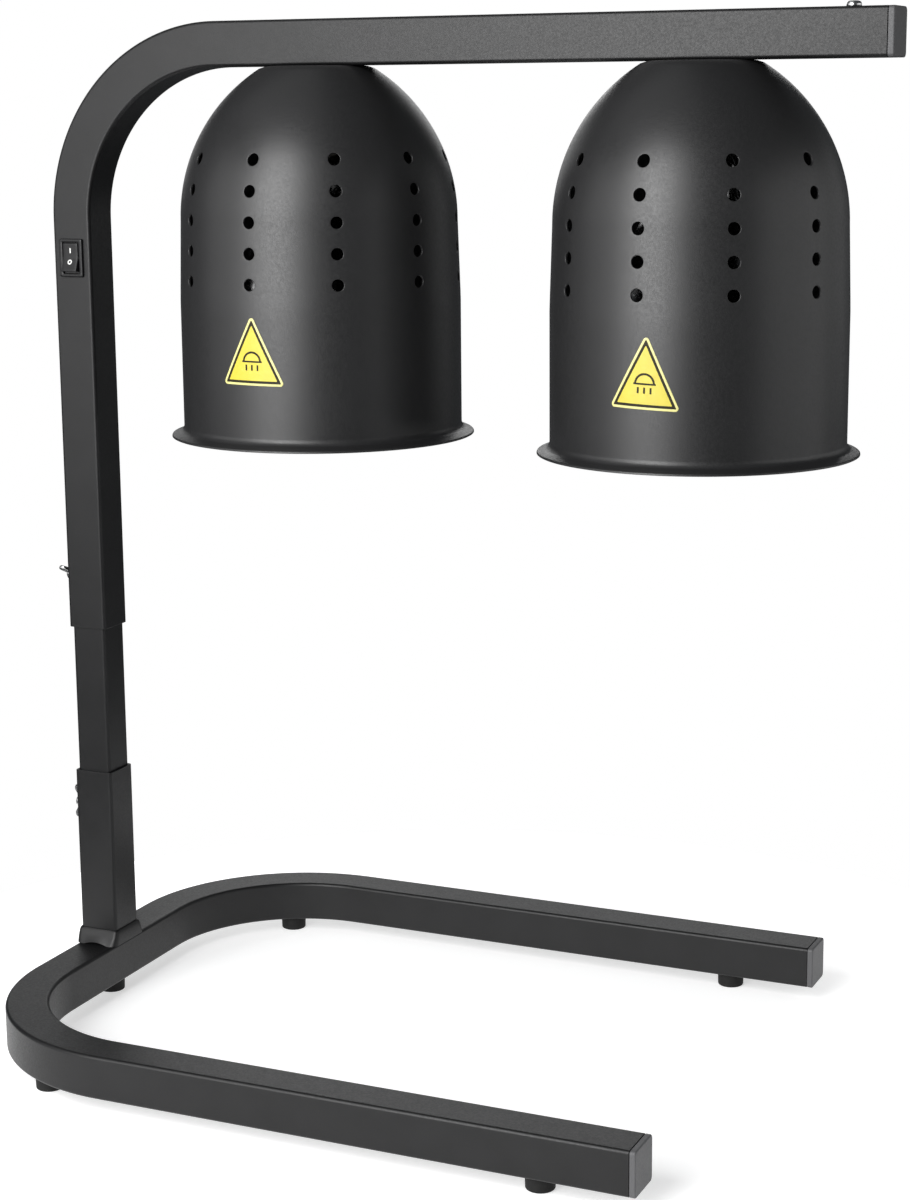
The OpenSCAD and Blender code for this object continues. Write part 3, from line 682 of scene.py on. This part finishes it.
def make_rocker():
    """Rocker with two flats that meet in a shallow valley, and the marks for on and off."""
    lo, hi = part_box("switch_rocker")
    pivot = Vector(next(j for j in frame["record"]["behaviour"]["joints"] if j["name"] == "switch_rock")["pos_m"])
    tilt = Matrix.Rotation(math.radians(-10), 4, "X")
    half_w, half_h = 5.0 * MM, 8.2 * MM
    valley, brow = 1.5 * MM, 3.0 * MM
    build = Build()
    rows = 24

    def proud(z):
        t = abs(z) / half_h
        return valley + (brow - valley) * t ** 1.15

    def put(x, out, z):
        return pivot + (tilt @ Vector((x, -out, z)))

    cols = [-1, -0.97, -0.9, -0.6, -0.3, 0, 0.3, 0.6, 0.9, 0.97, 1]
    grid = []
    for i in range(rows + 1):
        s = -1 + 2 * i / rows
        z = half_h * (math.copysign(1 - (1 - abs(s)) ** 1.3, s))
        line = []
        for cx in cols:
            drop = 0.35 * MM * max(0, (abs(cx) - 0.9) / 0.1) ** 2
            drop += 0.45 * MM * max(0, (abs(z) - 0.93 * half_h) / (0.07 * half_h)) ** 2
            line.append(put(cx * half_w, proud(z) - drop, z))
        grid.append(build.ring(line))
    for a, b in zip(grid, grid[1:]):
        build.bridge(a, b, closed=False)
    rim = [r[0] for r in grid] + grid[-1][1:-1] + [r[-1] for r in grid[::-1]] + grid[0][-2:0:-1]
    skirt = []
    for i in rim:
        p = tilt.inverted() @ (Vector(build.v[i]) - pivot)
        deep = 3.8 * MM - 2.2 * MM * (abs(p.z) / half_h) ** 1.5
        skirt.append(put(p.x, -deep, p.z * 0.95))
    skirt = build.ring(skirt)
    build.bridge(rim, skirt)
    build.face(skirt)
    pin = 1.0 * MM
    for s in (-1, 1):
        lathe(build, [(pin, 0), (pin, 0.85 * MM), (pin - 0.15 * MM, 0.95 * MM)], pivot + Vector((s * (half_w - 0.05 * MM), 0, 0)),
              axis=(s, 0, 0), n=24, caps=(False, True))
    lift = 0.03 * MM

    def mark(pts, mat=1):
        build.face(build.ring([put(x, proud(z) + lift, z) for x, z in pts]), mat)

    bar_w, bar_h, bar_z = 0.4 * MM, 1.4 * MM, 4 * MM
    mark([(-bar_w, bar_z - bar_h), (bar_w, bar_z - bar_h), (bar_w, bar_z + bar_h), (-bar_w, bar_z + bar_h)])
    n, zc = 40, -2.6 * MM
    outer = build.ring([put(x, proud(zc + z) + lift, zc + z) for x, z in circle(1.45 * MM, n)])
    inner = build.ring([put(x, proud(zc + z) + lift, zc + z) for x, z in circle(0.7 * MM, n)])
    build.bridge(outer, inner, mat=1)
    finish_piece("rocker", build, ["switch_rocker"], mats=["switch_plastic", "mark_white"], sharp=35)


def make_bush():
    lo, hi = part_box("cord_bush")
    c = (lo + hi) / 2
    face = TUBE / 2
    bore = 3.6 * MM
    r = (hi.x - lo.x) / 2
    y = lambda v: v - lo.y  # noqa: E731
    prof = [(bore + 0.4 * MM, 0), (5.2 * MM, 0), (5.2 * MM, y(face) - WALL), (5.4 * MM, y(face) - WALL), (5.4 * MM, y(face)),
            (r, y(face)), (r, y(face) + 1.4 * MM), (r - 0.6 * MM, y(face) + 2 * MM), (5.6 * MM, y(face) + 2 * MM)]
    for k in range(3):
        prof += [(5.6 * MM, y(face) + (2.6 + k * 1.1) * MM), (5.2 * MM, y(face) + (2.75 + k * 1.1) * MM),
                 (5.2 * MM, y(face) + (3.0 + k * 1.1) * MM), (5.6 * MM, y(face) + (3.15 + k * 1.1) * MM)]
    top = y(hi.y)
    prof += [(5.6 * MM, top - 0.5 * MM), (5.1 * MM, top), (bore + 0.5 * MM, top), (bore, top - 0.5 * MM), (bore, 0.4 * MM)]
    build = Build()
    lathe(build, prof, (c.x, lo.y, c.z), axis=(0, 1, 0), n=72, closed=True)
    finish_piece("cord_inlet_bush", build, ["cord_bush"], sharp=40)


# ---------- lamps ----------

VENT_ROWS, VENT_COLS = 5, 10
VENT_R = 3.25 * MM
CELL_W, CELL_N, GAP_N = 7.5 * MM, 8, 16


class Shade:
    """Spun shade: outer and inner skins on one grid, with a ring of clean quads round every vent."""

    def __init__(self, key, turn):
        lo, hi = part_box(f"lamp_{key}_shade")
        self.key, self.turn = key, math.radians(turn)
        self.top, self.rim_z = hi.z, lo.z
        self.x = LAMP_X[key]
        self.crown_z = self.top - 83 * MM
        self.crown_r, self.crown_in = 96.3 * MM, 19.3 * MM
        self.wall_r, self.wall_top_r = 78.4 * MM, 77 * MM
        self.taper_z = self.top - 127 * MM
        self.vent_z = self.top - 49 * MM
        self.step = 16.4 * MM
        self.thick = 1.0 * MM
        self.rim_r = (hi.x - lo.x) / 2

    def radius(self, z, g):
        if z >= self.crown_z:
            s = (z - self.crown_z) / (self.crown_r - g)
            return (self.crown_r - g) * math.sqrt(max(0.0, 1 - s * s)) - self.crown_in
        if z >= self.taper_z:
            t = (z - self.taper_z) / (self.crown_z - self.taper_z)
            return self.wall_r + (self.wall_top_r - self.wall_r) * t - g
        return self.wall_r - g

    def angles(self):
        """Grid angles, and for each column the index where its cell starts."""
        out, starts = [], []
        half = math.asin(CELL_W / self.wall_top_r)
        pitch = 2 * math.pi / VENT_COLS
        for col in range(VENT_COLS):
            c = self.turn + col * pitch
            starts.append(len(out))
            out += [c - half + 2 * half * k / CELL_N for k in range(CELL_N)]
            out += [c + half + (pitch - 2 * half) * k / GAP_N for k in range(GAP_N)]
        return out, starts

    def point(self, a, r, z):
        return (self.x + r * math.cos(a), r * math.sin(a), z)

    def skin(self, build, g):
        """Rings from the flat top to the lip, and the ring of vertices round each vent."""
        angles, starts = self.angles()
        half_cell = self.step / 2
        zone_top = self.vent_z + half_cell
        zone_foot = self.vent_z - (VENT_ROWS - 1) * self.step - half_cell
        top = self.top - g
        lean = math.asin((top - self.crown_z) / (self.crown_r - g))
        prof = [(5 * MM, top), (14 * MM, top), (22 * MM, top)]
        edge_r = (self.crown_r - g) * math.cos(lean) - self.crown_in
        prof += [(edge_r - 3.4 * MM, top - 0.02 * MM), (edge_r - 1.2 * MM, top - 0.25 * MM)]
        first = math.asin((zone_top - self.crown_z) / (self.crown_r - g))
        for k in range(1, 23):
            a = lean + (first - lean) * k / 22
            prof.append(((self.crown_r - g) * math.cos(a) - self.crown_in, self.crown_z + (self.crown_r - g) * math.sin(a)))
        vent_first = len(prof) - 1
        lines = VENT_ROWS * CELL_N
        for k in range(1, lines + 1):
            z = zone_top + (zone_foot - zone_top) * k / lines
            prof.append((self.radius(z, g), z))
        flare_z = self.rim_z + 6.6 * MM
        for k in range(1, 15):
            z = zone_foot + (flare_z - zone_foot) * k / 14
            prof.append((self.radius(z, g), z))
        fr = 4 * MM
        prof += arc(self.wall_r + fr, flare_z, fr + g, 180, 250, 8)[1:]
        lip = 1.0 * MM
        lip_z = self.rim_z + 1.5 * MM
        if g:
            prof += arc(self.rim_r - g - 0.5 * MM, self.rim_z + 0.3 * MM, 0.5 * MM, 74, 0, 6)
        else:
            prof += arc(self.rim_r - lip, lip_z - lip, lip, 74, 0, 6)
        prof.append((self.rim_r - g, self.rim_z + 0.25 * MM))
        grid = []
        for i, (r, z) in enumerate(prof):
            grid.append(build.ring([self.point(a, r, z) for a in angles]))
        n = len(angles)
        cells = {vent_first + row * CELL_N: row for row in range(VENT_ROWS)}
        for i in range(len(prof) - 1):
            row = (i - vent_first) // CELL_N if vent_first <= i < vent_first + lines else None
            for j in range(n):
                if row is not None and j % (CELL_N + GAP_N) < CELL_N:
                    continue
                q = (grid[i][j], grid[i][(j + 1) % n], grid[i + 1][(j + 1) % n], grid[i + 1][j])
                build.face(q)
        mouths = {}
        for i0, row in cells.items():
            zc = self.vent_z - row * self.step
            for col, j0 in enumerate(starts):
                ids = [grid[i0][(j0 + k) % n] for k in range(CELL_N)]
                ids += [grid[i0 + k][(j0 + CELL_N) % n] for k in range(CELL_N)]
                ids += [grid[i0 + CELL_N][(j0 + CELL_N - k) % n] for k in range(CELL_N)]
                ids += [grid[i0 + CELL_N - k][j0] for k in range(CELL_N)]
                c = self.turn + col * 2 * math.pi / VENT_COLS
                flat = []
                for v in ids:
                    px, py, pz = build.v[v]
                    r = math.hypot(px - self.x, py)
                    a = math.atan2(py, px - self.x) - c
                    a = (a + math.pi) % (2 * math.pi) - math.pi
                    flat.append((r * math.sin(a), pz - zc))
                mouths[row, col] = self.vent_rings(build, ids, flat, c, zc, g)
        return grid, mouths

    def vent_rings(self, build, ids, flat, c, zc, g):
        last = ids
        final = VENT_R + (0.28 * MM if g == 0 else 0.0)
        for t in (0.4, 0.72, 1.0):
            pts = []
            for u, w in flat:
                d = math.hypot(u, w)
                cu, cw = u / d * final, w / d * final
                qu, qw = u + (cu - u) * t, w + (cw - w) * t
                r = self.radius(zc + qw, g)
                pts.append(self.point(c + math.asin(max(-1, min(1, qu / r))), r, zc + qw))
            ring = build.ring(pts)
            build.bridge(last, ring)
            last = ring
        return last, [(u / math.hypot(u, w), w / math.hypot(u, w)) for u, w in flat], c, zc

    def hole_ring(self, build, mouth, radius, depth):
        _, dirs, c, zc = mouth
        pts = []
        for u, w in dirs:
            z = zc + w * radius
            r = self.radius(z, 0) - depth
            pts.append(self.point(c + math.asin(u * radius / r), r, z))
        return build.ring(pts)

    def make(self):
        build = Build()
        outer, mouths = self.skin(build, 0.0)
        inner, inner_mouths = self.skin(build, self.thick)
        lip = build.ring([self.point(a, self.rim_r - self.thick / 2, self.rim_z) for a in self.angles()[0]])
        build.bridge(outer[-1], lip)
        build.bridge(lip, inner[-1])
        build.bridge(outer[0], inner[0])
        for at, mouth in mouths.items():
            soft = self.hole_ring(build, mouth, VENT_R + 0.08 * MM, 0.1 * MM)
            wall = self.hole_ring(build, mouth, VENT_R, 0.32 * MM)
            build.bridge(mouth[0], soft)
            build.bridge(soft, wall)
            build.bridge(wall, inner_mouths[at][0])
        finish_piece(f"shade_{self.key}", build, [f"lamp_{self.key}_shade"], sharp=50)


def make_bulb(key):
    """Reflector bulb: neck, parabolic back and softly domed face, as one blown skin of even thickness."""
    lo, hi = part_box(f"lamp_{key}_bulb_glass")
    r = (hi.y - lo.y) / 2
    neck = 19 * MM
    end, belly, face, neck_z = lo.z, lo.z + 53 * MM, lo.z + 45 * MM, lo.z + 127 * MM
    gain = (r * r - neck * neck) / (neck_z - belly)

    def profile(g):
        p = [(13 * MM - g, hi.z), (14.2 * MM - g, hi.z - 4 * MM), (16.8 * MM - g, hi.z - 8.5 * MM), (18.1 * MM - g, hi.z - 12 * MM)]
        for k in range(28, -1, -1):
            z = belly + (neck_z - belly) * (k / 28) ** 1.5
            p.append((math.sqrt(neck * neck + gain * (neck_z - z)) - g, z))
        p.append((r - g, (belly + face) / 2))
        p += [((r - g) * math.cos(math.radians(90 * k / 30)), face - (face - end - g) * math.sin(math.radians(90 * k / 30)))
              for k in range(30)]
        p.append((0.2 * MM, end + g))
        return p

    build = Build()
    outer = lathe(build, profile(0), (LAMP_X[key], 0, 0), n=120)
    build.mat = [1 if k < 33 * 120 else 0 for k in range(len(build.f))]
    inner = lathe(build, profile(0.9 * MM), (LAMP_X[key], 0, 0), n=120)
    build.bridge(outer[0], inner[0])
    build.face(outer[-1])
    build.face(inner[-1])
    finish_piece(f"bulb_{key}", build, [f"lamp_{key}_bulb_glass"], mats=["bulb_glass", "bulb_silver"], sharp=60)


LABEL_RISE = {"a": 53.2 * MM, "b": 50 * MM}
LABEL_LEAN = {"a": 0.5, "b": 2}


def make_label(key):
    """Thin yellow sticker wrapped on the shade: a dark border line and a plain lamp-over-plate mark."""
    r0 = 78.4 * MM
    thick = 0.22 * MM
    size, corner = 36 * MM, 1.6 * MM
    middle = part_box(f"lamp_{key}_shade")[0].z + LABEL_RISE[key]
    turn, lean = math.radians(-91.3), math.radians(-LABEL_LEAN[key])
    x = LAMP_X[key]

    def wrap(u, w, r):
        """A point u across and w above the sticker's middle, wrapped on radius r."""
        u, w = u * math.cos(lean) - w * math.sin(lean), u * math.sin(lean) + w * math.cos(lean)
        a = turn + u / r0
        return (x + r * math.cos(a), r * math.sin(a), middle + w)

    half, tall = size / 2 - corner, size - 2 * corner
    slant = math.atan2(tall, half)
    inner = half * math.tan(slant / 2)

    def outline(inset, n=6, run=10):
        """The sticker's outline moved inwards, cut finely so that it follows the curve."""
        r = max(corner - inset, 0.3 * MM)
        k = 1 - (inset + r - corner) / inner
        cz = corner - size / 2 + inner
        centres = [(half * k, cz - inner * k), (0, cz + (tall - inner) * k), (-half * k, cz - inner * k)]
        tilt = math.pi / 2 - slant
        spans = [(-math.pi / 2, tilt), (tilt, math.pi - tilt), (math.pi - tilt, 1.5 * math.pi)]
        pts = []
        for c, (s, e) in zip(centres, spans):
            pts += [(c[0] + r * math.cos(s + (e - s) * i / n), c[1] + r * math.sin(s + (e - s) * i / n)) for i in range(n + 1)]
        out = []
        for i, p in enumerate(pts):
            q = pts[(i + 1) % len(pts)]
            m = run if i % (n + 1) == n else 1
            out += [(p[0] + (q[0] - p[0]) * j / m, p[1] + (q[1] - p[1]) * j / m) for j in range(m)]
        return out

    build = Build()
    top, under = r0 + thick, r0 + 0.02 * MM

    def level(inset, r):
        return build.ring([wrap(u, w, r) for u, w in outline(inset * MM)])

    foot, side, rim = level(0.02, under), level(0.02, top - 0.05 * MM), level(0.15, top)
    rings = [level(inset, top) for inset in (1.2, 2.6, 4.5, 6.5, 8.5)]
    build.bridge(foot, side, mat=2)
    build.bridge(side, rim, mat=2)
    build.bridge(rim, rings[0], mat=2)
    for a, b, mat in zip(rings, rings[1:], (1, 0, 0, 0)):
        build.bridge(a, b, mat)
    build.face(rings[-1])
    build.face(foot)

    def patch(points):
        build.face(build.ring([wrap(u * MM, w * MM, top + 0.06 * MM) for u, w in points]), 1)

    def strip(points, half_wide):
        """A drawn line: short flat quads along the points."""
        for (u0, w0), (u1, w1) in zip(points, points[1:]):
            reach = math.hypot(u1 - u0, w1 - w0)
            nu, nw = (w0 - w1) / reach * half_wide, (u1 - u0) / reach * half_wide
            patch([(u0 - nu, w0 - nw), (u1 - nu, w1 - nw), (u1 + nu, w1 + nw), (u0 + nu, w0 + nw)])

    strip([(5 * math.cos(math.pi * k / 16), -5.2 + 5 * math.sin(math.pi * k / 16)) for k in range(17)], 0.55)
    strip([(0.75 * k, -5.2) for k in range(-8, 9)], 0.45)
    for u in (-3.4, 0, 3.4):
        strip([(u, -10), (u, -6.9)], 0.5)
    finish_piece(f"sticker_{key}", build, [f"lamp_{key}_label"], mats=["label_yellow", "label_ink", "label_edge"],
                 sharp=60, weld=1e-8)


def make_holder(key):
    """Glazed ceramic holder with soft edges."""
    node = f"lamp_{key}_holder"
    lo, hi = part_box(node)
    h, top = hi.z - lo.z, hi.z
    z = lambda mm: top - mm * MM  # noqa: E731
    prof = [(5, 0), (10.4, 0), (11, 0.6), (11, 6.4), (11.6, 7.2), (17.6, 9), (20.4, 10.9), (21.8, 12.6), (22, 14), (22, h / MM - 1.2),
            (21.6, h / MM - 0.4), (20.8, h / MM), (15.4, h / MM), (15, h / MM - 0.4), (15, 16), (8, 16), (8, 9), (5, 9)]
    build = Build()
    lathe(build, [(r * MM, z(d)) for r, d in prof], (LAMP_X[key], 0, 0), n=96, closed=True)
    finish_piece(f"ceramic_holder_{key}", build, [node], sharp=45)


# ---------- put it together ----------

make_base()
for name, node in (("front_leg_plug", "front_leg_cap"), ("rear_leg_plug", "rear_leg_cap"), ("arm_plug", "arm_end_cap")):
    make_end_cap(name, node)
for node in ("post_foot_pad", "front_bend_foot", "rear_bend_foot", "front_end_foot", "rear_end_foot"):
    make_foot("rubber_" + node, node)
make_collar()
make_straight_tube("sleeve_tube", "lower_sleeve", TUBE)
make_straight_tube("telescopic_tube", "inner_tube", INNER)
make_upper_tube()
make_weld_nut("lower_boss", "lower_weld_nut")
make_weld_nut("upper_boss", "upper_weld_nut")
make_wing_screw("lower_wings", "lower_wing_screw", 90)
make_wing_screw("upper_wings", "upper_wing_screw", 148)
make_arm_screw()
make_switch()
make_rocker()
make_bush()
for key, turn in (("a", -92), ("b", -95)):
    Shade(key, turn).make()
    make_bulb(key)
    make_label(key)
    make_holder(key)

for name, obj in frame["nodes"].items():
    if not obj.hide_render:
        obj.data.materials.clear()
        obj.data.materials.append(MAT[SLOT_OF[name]])
